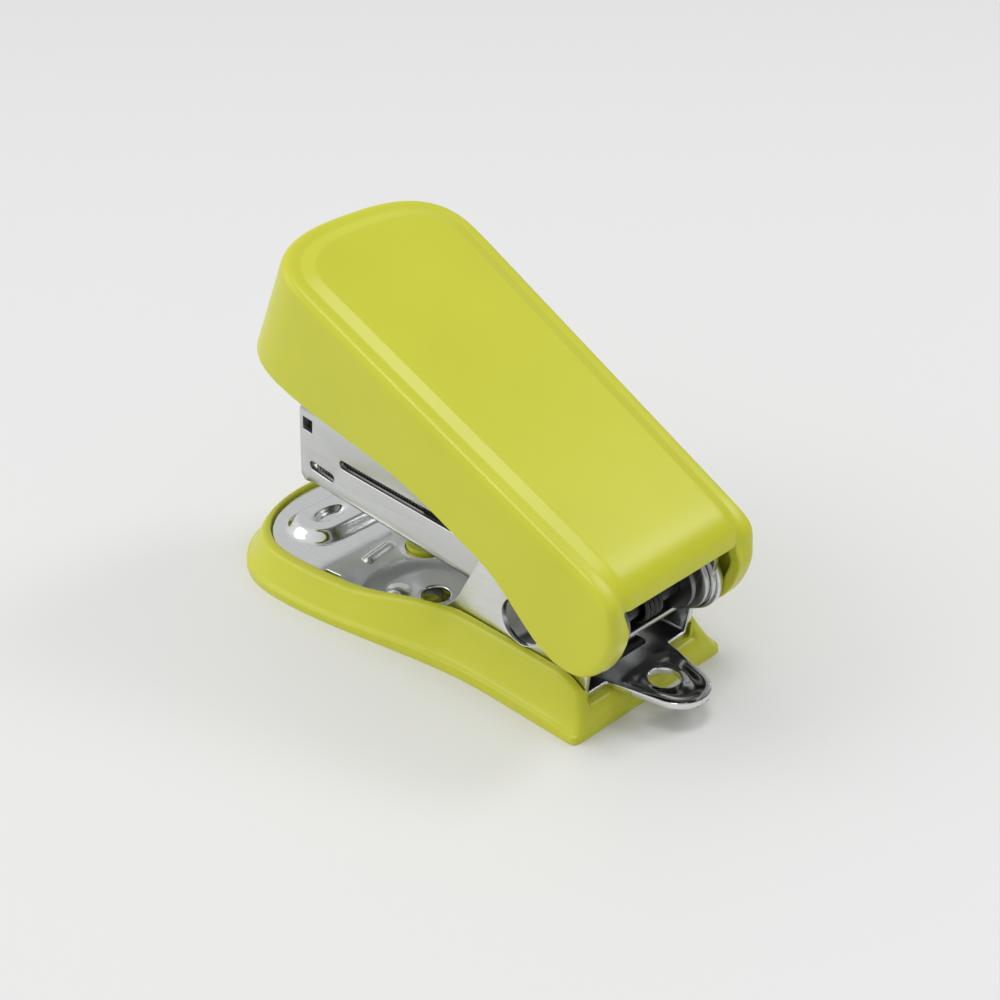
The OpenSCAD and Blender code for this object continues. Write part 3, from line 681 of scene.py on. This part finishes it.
def plate_half(x):
    """Half width of the plate, which fills the tray up to a small gap."""
    if x < base_wide_x:
        along = (base_wide_x - x) / (base_wide_x - plate_tip_x)
        widest = base_front_w / 2 - rim_in - plate_gap
        return widest * max(0, 1 - along ** base_power) ** (1 / base_power)
    return tray_half(x) - plate_gap


def bead(x, y, x0, y0, x1, y1, half_w):
    """How far a point is onto a straight pressed bead, from 0 to 1."""
    a = Vector((x0, y0))
    b = Vector((x1, y1))
    p = Vector((x, y))
    t = limited((p - a).dot(b - a) / (b - a).length_squared)
    return slope((p - a.lerp(b, t)).length, half_w + 0.35, half_w - 0.35)


def plate_relief(x, y):
    """Height of what is pressed into the plate, which is the same on both sides."""
    y = abs(y)
    from_anvil = math.hypot(x - anvil_x, max(0, y - anvil_half_l))
    from_pocket = math.hypot((x - anvil_x) / 1.3, (y - pocket_y) / 2.5)
    anvil = anvil_h * slope(from_anvil, anvil_foot_r, anvil_top_r)
    pocket = pocket_depth * slope(from_pocket, 1.15, 0.5)
    stiffener = stiffener_h * bead(x, y, *stiffener_ends, 0.5)
    dish = dish_depth * slope(math.hypot(x - 1, y - 7), 8, 4.4) * slope(x, 10, 6)
    pimple = pimple_h * slope(math.hypot(x + 2.1, y - 8.9), 1.8, 0.2)
    sink = sink_depth * slope(math.hypot(x - post_x, y), 3.6, 2.6)
    return anvil - pocket + stiffener - dish + pimple - sink


def plate_point(x, share):
    """A point of the plate. Shares above 1 lie in the outer strip, which folds up into the ears.

    From 1 to bend_share they go round the bend, and from there to 2 across the strip beyond it.
    """
    flat = min(ear_y - bend_r, 0.72 * plate_half(min(x, 0)))
    y = flat * min(1, abs(share))
    z = plate_relief(x, y)
    fold = slope(x, fold_start_x, fold_end_x)
    if abs(share) > 1:
        if x > fold_end_x + 0.01 and abs(share) > bend_share + 0.001:
            return None    # an ear, which is filled in later, stands here
        lift = rise_r - math.sqrt(rise_r ** 2 - max(0, min(x, fold_end_x) - rise_x) ** 2)
        notch = notch_depth if abs(x - notch_x) < 1.2 else 0
        strip = mix(max(0, plate_half(x) - notch - flat - bend_l), lift - bend_r, fold)
        along = bend_l * min(1, (abs(share) - 1) / (bend_share - 1))
        beyond = strip * max(0, abs(share) - bend_share) / (2 - bend_share)
        z = mix(plate_relief(x, flat + along + beyond), plate_relief(x, flat), fold)
        turn = fold * math.pi / 2
        turned = turn * along / bend_l
        open_r = bend_l / turn if turn > 0.001 else 0
        y += open_r * math.sin(turned) if open_r else along
        z += open_r * (1 - math.cos(turned))
        y += beyond * math.cos(turn)
        z += beyond * math.sin(turn)
        if abs(share) < 2 and turn == 0:
            y = min(y, plate_half(x) - notch - 0.15)    # keeps the edge's bevel off the grid
    return Vector((x, math.copysign(y, share), plate_z + z)) * mm


def tongue_point(x, share):
    """A point of the tongue, which is dished inside its rim and round its hole."""
    if x > tongue_round_x:
        half = math.sqrt(max(0, tongue_r ** 2 - (x - tongue_tip_x) ** 2))
    else:
        half = mix(tongue_half, tongue_neck_half, (x - frame_x) / (tongue_round_x - frame_x))
    y = share * half
    reach = tongue_r - math.hypot(max(0, x - tongue_tip_x), y)
    inside = reach if x > tongue_tip_x else half - abs(y)
    begun = slope(x, frame_x + 0.4, frame_x + 2.6)
    z = -tongue_dish * begun * slope(inside, 0.3, 2)
    z += tongue_lip * begun * slope(math.hypot(x - tongue_hole_x, y), 2.8, 2)
    return Vector((x, y, plate_z + z)) * mm


def sheet_grid(bm, stations, shares, point):
    """A grid of sheet, each vertex placed by point, which leaves out those it has no place for."""
    columns = len(stations) - 1
    rows = len(shares) - 1
    grid = bmesh.ops.create_grid(bm, x_segments=columns, y_segments=rows, size=0.5)["verts"]
    spare = []
    for vert in grid:
        i = round((vert.co.x + 0.5) * columns)
        j = round((vert.co.y + 0.5) * rows)
        place = point(stations[i], shares[j])
        if place is None:
            spare.append(vert)
        else:
            vert.co = place
    bmesh.ops.delete(bm, geom=spare, context="VERTS")


def punch(bm, x, y, r):
    """Opens a round hole in a fine grid and draws its edge onto the circle."""
    centre = Vector((x, y)) * mm
    away = lambda v: (v.co.xy - centre).length
    inside = [f for f in bm.faces if min(away(v) for v in f.verts) < r * mm * 0.9]
    bmesh.ops.delete(bm, geom=inside, context="FACES")
    for vert in bm.verts:
        if vert.is_boundary and away(vert) < 1.5 * r * mm:
            out = (vert.co.xy - centre).normalized() * r * mm
            vert.co.xy = centre + out


def collar(bm, x, y, r, depth):
    """Turns the edge of a punched hole down into a collar."""
    centre = Vector((x, y)) * mm
    near = lambda v: (v.co.xy - centre).length < 1.1 * r * mm
    rim = [e for e in bm.edges if e.is_boundary and all(near(v) for v in e.verts)]
    bent = 0.12
    straight = 0.4
    for inward, step in ((0.1, bent), (0, straight), (0, depth - bent - straight)):
        grown = bmesh.ops.extrude_edge_only(bm, edges=rim)["geom"]
        for vert in grown:
            if isinstance(vert, bmesh.types.BMVert):
                vert.co.xy -= (vert.co.xy - centre).normalized() * inward * mm
                vert.co.z -= step * mm
        rim = [e for e in grown if isinstance(e, bmesh.types.BMEdge)]


def circle_edges(bm, x, y, z, r, segments):
    """A circle of edges in an upright sheet."""
    made = bmesh.ops.create_circle(bm, segments=segments, radius=r * mm)["verts"]
    for vert in made:
        vert.co = Vector((x * mm + vert.co.x, y * mm, z * mm + vert.co.y))
    return list({e for v in made for e in v.link_edges})


def chain(bm, points):
    """An open line of edges through points, reusing vertices that are given instead of points."""
    verts = [p if isinstance(p, bmesh.types.BMVert) else bm.verts.new(p) for p in points]
    return [bm.edges.get(pair) or bm.edges.new(pair) for pair in zip(verts, verts[1:])]


def arc(x, z, r, start, end, steps):
    """Points of an arc in the side view, in degrees from +X towards +Z."""
    points = []
    for i in range(steps + 1):
        a = math.radians(mix(start, end, i / steps))
        points.append((x + r * math.cos(a), z + r * math.sin(a)))
    return points


# The plate's grid has a few columns round its tip, then fine ones where it is pressed, and it
# shares its rows with the tongue's grid, which is joined to it.
fine_x = anvil_x - anvil_foot_r - 0.1
tip_stations = [x for x, y in rounded_front(plate_tip_x, base_wide_x, 1, base_power, 24)
                if x < fine_x - 0.1]
stations = tip_stations[2:] + spread(fine_x, fold_end_x, 130) + spread(fold_end_x, frame_x, 28)
stations.append(frame_x)
tongue_share = tongue_half / (ear_y - bend_r)
half_shares = spread(0, tongue_share, 22) + spread(tongue_share, 1, 12) + spread(1, bend_share, 5)
half_shares += spread(bend_share, 2, 22) + [2]
shares = [-s for s in half_shares[:0:-1]] + half_shares
tongue_shares = [s / tongue_share for s in shares if abs(s) <= tongue_share + 0.001]
tongue_tip = [tongue_tip_x + tongue_r * math.sin(math.radians(a)) for a in range(16, 87, 5)]
tongue_stations = spread(frame_x, tongue_tip[0], 26) + tongue_tip
bm = bmesh.new()
sheet_grid(bm, stations, shares, plate_point)
sheet_grid(bm, tongue_stations, tongue_shares, tongue_point)
bmesh.ops.remove_doubles(bm, verts=bm.verts, dist=merge_dist)
collar_depth = 1.7
for side in (-1, 1):
    x, y, r = plate_hole
    punch(bm, x, side * y, r)
    collar(bm, x, side * y, r, collar_depth)
punch(bm, post_x, 0, post_r + 0.1)
punch(bm, tongue_hole_x, 0, tongue_hole_r)

# Each ear fills the outline from the fold, along the plate, round the pin and down its front.
pin_x = pin.x / mm
pin_z = pin.z / mm
pin_hole_r = 1.5
ear_r = 4.6
ear_front_top = [(13.1, 15.4), (12.6, 15.3), (12.2, 15), (11.9, 14.5)]
ear_window = (18.05, 8.8, 2.9)    # x, z and radius
rise_end = math.degrees(math.acos((fold_end_x - rise_x) / rise_r))
ear_outline = arc(pin_x, pin_z, ear_r, -80, 102, 30) + ear_front_top
ear_outline += arc(rise_x, plate_z + rise_r, rise_r, -25, -rise_end, 9)[:-1]
for side in (-1, 1):
    y = side * ear_y
    in_plane = [v for v in bm.verts if abs(v.co.y / mm - y) < 0.002]
    front = [v for v in in_plane if abs(v.co.x / mm - fold_end_x) < 0.01]
    front.sort(key=lambda v: -v.co.z)
    foot = [v for v in in_plane if v.co.x / mm > fold_end_x + 0.01]
    foot.sort(key=lambda v: v.co.x)
    rise = [Vector((x, y, z)) * mm for x, z in ear_outline]
    edges = chain(bm, front + foot + rise + [front[0]])
    edges += circle_edges(bm, pin_x, y, pin_z, pin_hole_r, 32)
    edges += circle_edges(bm, ear_window[0], y, ear_window[1], ear_window[2], 40)
    bmesh.ops.triangle_fill(bm, edges=edges, use_beauty=True)
plate_tone = (0.78, 0.79, 0.795)
plate_chrome = chrome("frame_chrome", plate_tone, 0.09, (1, 6, 6), satin=0.24)
base_sheet = finished_piece("frame_stamping", bm, plate_chrome, "base")
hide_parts("base_frame")


def gauge(piece, thickness, even=False):
    """Gives a stamped surface its thickness, on the side away from its normals."""
    sheet = piece.modifiers.new("gauge", "SOLIDIFY")
    sheet.thickness = thickness * mm
    sheet.offset = -1
    sheet.use_even_offset = even


gauge(base_sheet, sheet_t)
broken_edges(base_sheet, 0.1)

# ---- Magazine ----
# A channel of satin nickel sheet that holds the staples, closed at the mouth but for the
# gap that a staple leaves through. Slots and a small window are punched in its sides.
magazine_tilt = math.radians(3)
magazine_place = Matrix.Translation(pin) @ Matrix.Rotation(magazine_tilt, 4, "Y")
mag_half = 7.35
mag_t = 0.7
mag_l = 48.7
mag_low = -4
mag_high = 5.9
mag_bend_r = 0.7
mag_pin_hole_r = 1.55
mag_rear_r = 4
slot_h = 1.2
mag_window = [(-47.8, 3.25), (-46.05, 3.15), (-46, 4.95), (-47.75, 5)]


def outline_edges(bm, y, points):
    """A closed outline in an upright sheet."""
    verts = [bm.verts.new(Vector((x, y, z)) * mm) for x, z in points]
    return chain(bm, verts + [verts[0]])


def punched_slot(front, rear, z, tilt):
    """The outline of a slot with round ends that is tilted about its front end."""
    r = slot_h / 2
    rear_z = z + (rear - front) * math.tan(math.radians(tilt))
    front_end = arc(front + r, z, r, 90 + tilt, 270 + tilt, 8)
    return front_end + arc(rear - r, rear_z, r, tilt - 90, tilt + 90, 8)


# One side, from the floor's rear end forwards, up the front, back along the top and round the pin.
side_outline = [(0.8, -3.92), (-46.4, mag_low), (-47.6, mag_low), (-mag_l, -2.9), (-mag_l, mag_high),
                (-5, mag_high), (0, mag_rear_r)]
side_outline += arc(0, 0, mag_rear_r, 85, -75, 20)
floor_and_front = ((0, 1), (3, 4))    # the outline's edges that a strip of sheet joins across
bm = bmesh.new()
sides = []
for side in (-1, 1):
    y = side * mag_half
    verts = [bm.verts.new(Vector((x, y, z)) * mm) for x, z in side_outline]
    sides.append(verts)
    edges = chain(bm, verts + [verts[0]])
    edges += circle_edges(bm, 0, y, 0, mag_pin_hole_r, 32)
    edges += outline_edges(bm, y, punched_slot(-41.1, -12, 1.3, 1.4))
    edges += outline_edges(bm, y, punched_slot(-46.6, -42.1, -1.3, -2))
    edges += outline_edges(bm, y, mag_window)
    bmesh.ops.triangle_fill(bm, edges=edges, use_beauty=True)
near_side, far_side = sides
for a, b in floor_and_front:
    bm.faces.new((near_side[a], near_side[b], far_side[b], far_side[a]))
folds = [bm.edges.get((v[a], v[b])) for v in sides for a, b in floor_and_front]
bmesh.ops.recalc_face_normals(bm, faces=bm.faces)
bmesh.ops.bevel(bm, geom=folds, offset=mag_bend_r * mm, segments=4, profile=0.5, affect="EDGES",
                clamp_overlap=False, material=-1)
bmesh.ops.transform(bm, matrix=magazine_place, verts=bm.verts)
nickel = chrome("magazine_chrome", (0.61, 0.62, 0.615), 0.26, (0.3, 4, 8))
channel = finished_piece("magazine_channel", bm, nickel, "magazine")
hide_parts("magazine")
gauge(channel, mag_t, even=True)
broken_edges(channel, 0.1)

# ---- Handle frame ----
# A U of chromed sheet under the cover: its arms turn on the pin between the magazine and the
# ears, and it carries the driver blade on a tab at the front.
def dress(node, material):
    """Gives a CAD node one finish."""
    mesh = frame["nodes"][node].data
    mesh.materials.clear()
    mesh.materials.append(material)


dress("handle_frame", chrome("arm_chrome", (0.66, 0.67, 0.68), 0.16, (1, 6, 6), 0.12 * mm))

# ---- Staple rail ----
# A slotted U of zinc-plated sheet stands in the magazine and guides the staples' legs.
# It is dulled by oil and hangs on the hinge pin.
def plated(name, tone, roughness, edge=0.1):
    """Dull plated or oiled steel, with cloudy darker places."""
    finish = Finish(name)
    cloud = finish.ramp(finish.noise(350, detail=4), (0.35, 0), (0.7, 1))
    dark = (0.7 * tone, 0.7 * tone, 0.68 * tone)
    finish.set(Base_Color=finish.blend(cloud, [tone] * 3, dark), Metallic=1.0)
    finish.set(Roughness=roughness + 0.12 * cloud)
    finish.bump(finish.noise(1800, detail=2), 0.00001, edge * mm)
    return finish.material


dress("staple_rail", plated("rail_steel", 0.24, 0.3))

# ---- Guide rod, bracket, clip and spacers ----
# Small zinc-plated parts: the rod that the pusher slides on, the bracket that holds its rear
# end, the clip that locks it, and two rings that keep the rail in the middle of the pin.
# Their near-black tone is painted shade, for the dark inside of the handle where these parts sit.
inner_steel = plated("inner_steel", 0.07, 0.3)
for node in ("guide_rod", "rod_bracket", "rod_clip", "hinge_spacers"):
    dress(node, inner_steel)

# ---- Hinge pin ----
# A plain steel pin with a low head at each end, which the ears and every turning part hang on.
# Its near-black tone is painted shade, for the dark inside of the hinge.
dress("hinge_pin", plated("pin_steel", 0.045, 0.26, 0.2))

# ---- Springs ----
# Blued spring steel: a coil in front of the bracket pushes the pusher, a coil on the hinge pin
# lifts the handle, and a leaf riveted to the plate holds the magazine up. When a joint moves,
# the coil on the pin and the leaf bend from one body to the next.
spring_steel = plated("spring_steel", 0.05, 0.28, 0.05)


def swept(stations, section, place):
    """A closed bar: place puts each point of the section at each station."""
    bm = bmesh.new()
    sheet_grid(bm, stations, section + section[:1], place)
    bmesh.ops.remove_doubles(bm, verts=bm.verts, dist=merge_dist)
    bmesh.ops.holes_fill(bm, edges=[e for e in bm.edges if e.is_boundary], sides=len(section))
    return bm


def wire(points, axis, r, sides=10):
    """A round wire along points, which winds about axis."""
    last = len(points) - 1

    def place(i, turn):
        along = (points[min(last, i + 1)] - points[max(0, i - 1)]).normalized()
        out = along.cross(axis).normalized()
        over = along.cross(out)
        return points[i] + (out * math.cos(turn) + over * math.sin(turn)) * r * mm

    return swept(range(last + 1), [2 * math.pi * k / sides for k in range(sides)], place)


turn_steps = 24
coil_turns = 12
coil_r = 1.6
coil_wire_r = 0.2
coil_rear_x = -5.42
coil_front_x = -21.08
rod_z = -0.5
coil_points = []
for i in range(turn_steps * coil_turns + 1):
    a = 2 * math.pi * i / turn_steps
    x = mix(coil_rear_x, coil_front_x, i / (turn_steps * coil_turns))
    point = Vector((x, coil_r * math.cos(a), rod_z + coil_r * math.sin(a)))
    coil_points.append(magazine_place @ (point * mm))
slide = Vector(joints["pusher_slide"]["axis"])
pusher_coil = finished_piece("pusher_coil", wire(coil_points, slide, coil_wire_r), spring_steel,
                             "magazine")
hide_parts("pusher_spring")
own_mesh(pusher_coil)

torsion_turns = 4
torsion_r = 2.05
torsion_wire_r = 0.35
torsion_half_w = torsion_turns * (2 * torsion_wire_r + 0.05) / 2
torsion_steps = turn_steps * torsion_turns + 6
lean = handle_tilt - magazine_tilt
arm_reach = 8                 # the coil's upper arm ends here, seen along the handle
arm_lift = 6.42
arm_end_x = arm_lift * math.sin(lean) - arm_reach * math.cos(lean)
arm_end_z = arm_reach * math.sin(lean) + arm_lift * math.cos(lean)
torsion_points = [(-3.2, -torsion_half_w, -2.9)]
for i in range(torsion_steps + 1):
    a = -math.pi / 2 - 2 * math.pi * i / turn_steps
    y = mix(-torsion_half_w, torsion_half_w, i / torsion_steps)
    torsion_points.append((torsion_r * math.cos(a), y, torsion_r * math.sin(a)))
torsion_points.append((arm_end_x, torsion_half_w, arm_end_z))
torsion_points = [magazine_place @ (Vector(p) * mm) for p in torsion_points]
hinge_coil = finished_piece("hinge_coil", wire(torsion_points, Vector((0, 1, 0)), torsion_wire_r),
                            spring_steel, None)
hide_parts("hinge_spring")
coil_end = Vector((0, torsion_half_w * mm, 0))
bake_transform(hinge_coil, "magazine", "handle", start=pin - coil_end, end=pin + coil_end)

leaf_w = 7
leaf_t = 0.3
leaf_flat = 0.4               # its faces are drawn flat to this far from their edges
leaf_round = 0.06             # and the edges are broken by this much
leaf_start_x = 25.75
leaf_bend_x = 20.75
leaf_tip_x = 10.35
leaf_tip_z = 8.7
leaf_z = plate_z + leaf_t / 2
leaf_points = [(x, leaf_z) for x in spread(leaf_start_x, leaf_bend_x, 4)]
for x in spread(leaf_bend_x, leaf_tip_x, 24) + [leaf_tip_x]:
    leaf_points.append((x, mix(leaf_z, leaf_tip_z, slope(x, leaf_bend_x, leaf_tip_x))))
leaf_corner = [(leaf_w / 2 - leaf_flat, leaf_t / 2), (leaf_w / 2 - leaf_round, leaf_t / 2),
               (leaf_w / 2, leaf_t / 2 - leaf_round)]
leaf_section = []
for y_side, z_side in ((1, 1), (1, -1), (-1, -1), (-1, 1)):
    leaf_section += [(y_side * y, z_side * z) for y, z in leaf_corner[::y_side * z_side]]
leaf_place = lambda at, edge: Vector((at[0], edge[0], at[1] + edge[1])) * mm
leaf = finished_piece("leaf_spring", swept(leaf_points, leaf_section, leaf_place), spring_steel,
                      None)
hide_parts("lift_spring")
leaf_root = Vector((leaf_bend_x, 0, plate_z)) * mm
leaf_tip = Vector((leaf_tip_x, 0, plate_z)) * mm
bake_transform(leaf, "base", "magazine", start=leaf_root, end=leaf_tip)

# ---- Rivets ----
# Flat-headed steel rivets, closed by a press, join the leaf, the bracket and the blade.
# Their heads are left plain.
rivet_steel = plated("rivet_steel", 0.22, 0.3, 0.15)
for node in ("lift_spring_rivet", "bracket_rivet", "blade_rivets"):
    dress(node, rivet_steel)

# ---- Driver blade ----
# A strip of hardened steel that pushes the front staple out, ground along its length and
# riveted to the handle frame's tab.
dress("driver_blade", chrome("blade_steel", (0.42, 0.42, 0.43), 0.3, (1, 1, 12), 0.05 * mm))

# ---- Staple strip ----
# Galvanised wire staples glued side by side, with a fine groove between each pair.
# They straddle the rail.
staple_t = 0.5
wave_scale = 2 * math.pi / (20 * staple_t * mm)    # a wave node has 20 / 2 pi waves at scale 1
staples = Finish("staple_wire")
turned = staples.node("ShaderNodeMapping", {}, staples.place, Rotation=(0, -magazine_tilt, 0))
groove = staples.node("ShaderNodeTexWave", {"bands_direction": "X", "wave_profile": "SIN"},
                      Vector=turned.outputs[0], Scale=wave_scale)
ridge = Number(staples, groove.outputs["Fac"])
# The colour darkens into each groove as painted shade, alongside the groove's bump.
staples.set(Base_Color=staples.blend(ridge, (0.36, 0.36, 0.35), (0.6, 0.6, 0.59)), Metallic=1.0)
staples.set(Roughness=0.38 - 0.1 * ridge)
staples.bump(ridge, 0.00004)
dress("staple_strip", staples.material)

# ---- Pusher ----
# A block of black moulded plastic that straddles the rail and slides on the guide rod.
# Its surface is matt and finely grained.
black = Finish("pusher_plastic")
grain = black.noise(1500, detail=2)
black.set(Base_Color=black.blend(grain, (0.012, 0.012, 0.013), (0.03, 0.03, 0.032)))
black.set(Roughness=0.5 + 0.15 * grain)
black.bump(grain, 0.00003, 0.2 * mm)
dress("pusher", black.material)

# ---- Floor and light ----
# A plain pale floor, a pale surrounding that is darker behind the hinge, and three soft lamps.
floor_finish = Finish("floor")
floor_tones = ((0.79, 0.79, 0.79), (0.80, 0.80, 0.80))
floor_finish.set(Base_Color=floor_finish.blend(floor_finish.noise(3), *floor_tones), Roughness=0.5)
floor_mesh = bpy.data.meshes.new("floor")
floor_bm = bmesh.new()
bmesh.ops.create_grid(floor_bm, x_segments=2, y_segments=2, size=3)
floor_bm.to_mesh(floor_mesh)
floor_bm.free()
floor_mesh.materials.append(floor_finish.material)
floor = bpy.data.objects.new("floor", floor_mesh)
bpy.context.scene.collection.objects.link(floor)

bright_side = (-0.6, -0.65, 0.4)
dim_strength = 0.33
bright_strength = 0.87
world = bpy.data.worlds.new("studio")
bpy.context.scene.world = world
world.use_nodes = True
sky = world.node_tree
heading = sky.nodes.new("ShaderNodeTexCoord")
towards = sky.nodes.new("ShaderNodeVectorMath")
towards.operation = "DOT_PRODUCT"
towards.inputs[1].default_value = bright_side
sky.links.new(heading.outputs["Generated"], towards.inputs[0])
fade = sky.nodes.new("ShaderNodeMapRange")
fade.inputs["From Min"].default_value = -0.6
fade.inputs["From Max"].default_value = 0.9
fade.inputs["To Min"].default_value = dim_strength
fade.inputs["To Max"].default_value = bright_strength
sky.links.new(towards.outputs["Value"], fade.inputs["Value"])
sky.links.new(fade.outputs["Result"], sky.nodes["Background"].inputs["Strength"])
sky.nodes["Background"].inputs["Color"].default_value = (1, 1, 1, 1)


def softbox(name, place, size, watts):
    """A square lamp that faces the stapler."""
    lamp = bpy.data.objects.new(name, bpy.data.lights.new(name, "AREA"))
    lamp.data.shape = "SQUARE"
    lamp.data.size = size
    lamp.data.energy = watts
    lamp.location = place
    lamp.rotation_euler = (-Vector(place)).to_track_quat("-Z", "Y").to_euler()
    bpy.context.scene.collection.objects.link(lamp)


softbox("overhead", (0.06, -0.02, 0.78), 0.24, 1.35)
softbox("left", (-0.45, -0.45, 0.42), 0.45, 1.0)
softbox("rear", (0.2, 0.44, 0.53), 0.22, 0.8)
